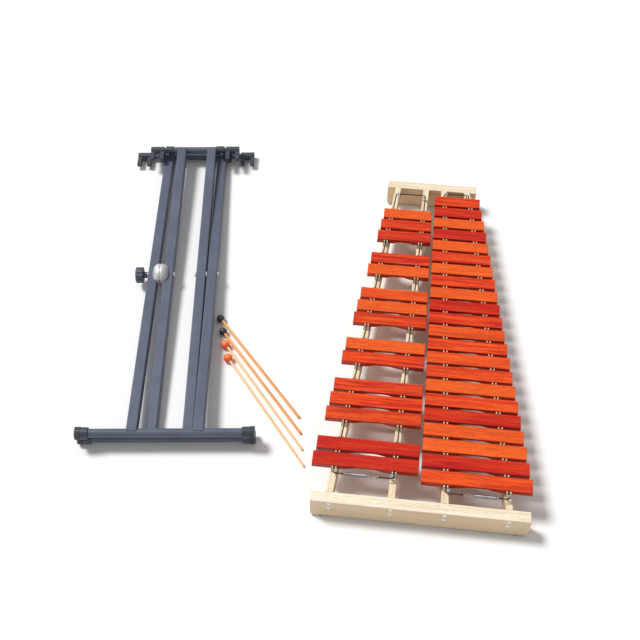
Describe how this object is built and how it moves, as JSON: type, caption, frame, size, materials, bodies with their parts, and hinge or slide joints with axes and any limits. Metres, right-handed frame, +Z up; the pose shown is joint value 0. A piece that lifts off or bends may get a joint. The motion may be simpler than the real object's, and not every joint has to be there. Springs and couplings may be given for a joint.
{
  "type": "xylophone",
  "caption": "Portable xylophone laid out with its folded cross-leg stand and mallets: two rows of arched wooden bars on cords over a beech frame.",
  "frame": {"origin": "on the floor, under the middle of the whole laid-out set", "axes": "+X from the bass bars to the treble bars, +Y away from the player, +Z up"},
  "size_m": [1.1228, 1.0968, 0.085],
  "materials": {
    "padouk": "lacquered",
    "frame_wood": "satin varnish",
    "cord": "woven",
    "post_plastic": "matte",
    "steel": "plated",
    "rubber": "matte",
    "stand_paint": "satin powder coat",
    "grey_plastic": "moulded satin",
    "clutch_metal": "cast satin",
    "black_plastic": "moulded",
    "mallet_red": "smooth",
    "mallet_black": "smooth",
    "rattan": "natural",
    "birch": "natural"
  },
  "bodies": {
    "keyboard": {"bass_end_board": "frame_wood", "treble_end_board": "frame_wood", "accidental_outer_rail": "frame_wood", "accidental_inner_rail": "frame_wood", "natural_inner_rail": "frame_wood", "natural_outer_rail": "frame_wood", "accidental_cord": "cord", "natural_cord": "cord", "accidental_spring": "steel", "natural_spring": "steel", "cord_posts": "post_plastic", "cord_guide_pins": "steel", "frame_screws": "steel", "rubber_feet": "rubber", "bar_c_sharp_1": "padouk", "bar_d_sharp_1": "padouk", "bar_f_sharp_1": "padouk", "bar_g_sharp_1": "padouk", "bar_a_sharp_1": "padouk", "bar_c_sharp_2": "padouk", "bar_d_sharp_2": "padouk", "bar_f_sharp_2": "padouk", "bar_g_sharp_2": "padouk", "bar_a_sharp_2": "padouk", "bar_c_sharp_3": "padouk", "bar_d_sharp_3": "padouk", "bar_f_sharp_3": "padouk", "bar_g_sharp_3": "padouk", "bar_a_sharp_3": "padouk", "natural_bars_octave_1": "padouk", "natural_bars_octave_2": "padouk", "natural_bars_octave_3": "padouk"},
    "stand_inner_frame": {"inner_legs": "stand_paint", "inner_top_tube": "stand_paint", "inner_foot_tube": "stand_paint", "inner_foot_caps": "grey_plastic", "inner_tube_collars": "grey_plastic", "inner_clutch_half": "clutch_metal", "clutch_bolt": "steel", "pivot_bolt": "steel"},
    "stand_outer_frame": {"outer_legs": "stand_paint", "outer_top_tube": "stand_paint", "outer_foot_tube": "stand_paint", "outer_foot_caps": "grey_plastic", "outer_tube_collars": "grey_plastic", "outer_clutch_half": "clutch_metal"},
    "clutch_knob": {"clutch_knob": "black_plastic"},
    "inner_left_arm": {"inner_left_arm": "stand_paint"},
    "inner_left_fork": {"inner_left_fork": "grey_plastic"},
    "inner_right_arm": {"inner_right_arm": "stand_paint"},
    "inner_right_fork": {"inner_right_fork": "grey_plastic"},
    "outer_left_arm": {"outer_left_arm": "stand_paint"},
    "outer_left_fork": {"outer_left_fork": "grey_plastic"},
    "outer_right_arm": {"outer_right_arm": "stand_paint"},
    "outer_right_fork": {"outer_right_fork": "grey_plastic"},
    "black_mallet_1": {"black_mallet_1": "mallet_black"},
    "black_mallet_2": {"black_mallet_2": "mallet_black"},
    "red_mallet_1": {"red_mallet_1": "mallet_red"},
    "red_mallet_2": {"red_mallet_2": "mallet_red"}
  },
  "joints": [
    {"name": "stand_lift", "type": "slide", "parent": "keyboard", "child": "stand_inner_frame", "axis": [0, 0, 1], "range_m": [0, 0.8]},
    {"name": "stand_fold", "type": "hinge", "parent": "stand_inner_frame", "child": "stand_outer_frame", "pos_m": [0.0626, 0.3264, 0.034], "axis": [-0.1184, 0.993, 0], "range_deg": [0, 90]},
    {"name": "clutch_knob_turn", "type": "hinge", "parent": "stand_inner_frame", "child": "clutch_knob", "pos_m": [0.0626, 0.3264, 0.034], "axis": [-0.1184, 0.993, 0], "continuous": true},
    {"name": "inner_left_arm_slide", "type": "slide", "parent": "stand_inner_frame", "child": "inner_left_arm", "axis": [-0.1184, 0.993, 0], "range_m": [0, 0.055]},
    {"name": "inner_left_fork_turn", "type": "hinge", "parent": "inner_left_arm", "child": "inner_left_fork", "pos_m": [0.5095, 0.48845, 0.04256], "axis": [-0.1184, 0.993, 0], "range_deg": [0, 180]},
    {"name": "inner_right_arm_slide", "type": "slide", "parent": "stand_inner_frame", "child": "inner_right_arm", "axis": [0.1184, -0.993, 0], "range_m": [0, 0.055]},
    {"name": "inner_right_fork_turn", "type": "hinge", "parent": "inner_right_arm", "child": "inner_right_fork", "pos_m": [0.53508, 0.27398, 0.04256], "axis": [-0.1184, 0.993, 0], "range_deg": [0, 180]},
    {"name": "outer_left_arm_slide", "type": "slide", "parent": "stand_outer_frame", "child": "outer_left_arm", "axis": [-0.1184, 0.993, 0], "range_m": [0, 0.07]},
    {"name": "outer_left_fork_turn", "type": "hinge", "parent": "outer_left_arm", "child": "outer_left_fork", "pos_m": [0.51318, 0.53018, 0.01265], "axis": [-0.1184, 0.993, 0], "range_deg": [0, 180]},
    {"name": "outer_right_arm_slide", "type": "slide", "parent": "stand_outer_frame", "child": "outer_right_arm", "axis": [0.1184, -0.993, 0], "range_m": [0, 0.07]},
    {"name": "outer_right_fork_turn", "type": "hinge", "parent": "outer_right_arm", "child": "outer_right_fork", "pos_m": [0.54847, 0.23428, 0.01265], "axis": [-0.1184, 0.993, 0], "range_deg": [0, 180]},
    {"name": "black_mallet_1_lift", "type": "slide", "parent": "keyboard", "child": "black_mallet_1", "axis": [0, 0, 1], "range_m": [0, 0.25]},
    {"name": "black_mallet_2_lift", "type": "slide", "parent": "keyboard", "child": "black_mallet_2", "axis": [0, 0, 1], "range_m": [0, 0.25]},
    {"name": "red_mallet_1_lift", "type": "slide", "parent": "keyboard", "child": "red_mallet_1", "axis": [0, 0, 1], "range_m": [0, 0.25]},
    {"name": "red_mallet_2_lift", "type": "slide", "parent": "keyboard", "child": "red_mallet_2", "axis": [0, 0, 1], "range_m": [0, 0.25]}
  ],
  "couplings": [
    {"joint": "stand_fold", "follows": "stand_lift", "rad_per_m": 1.963}
  ]
}
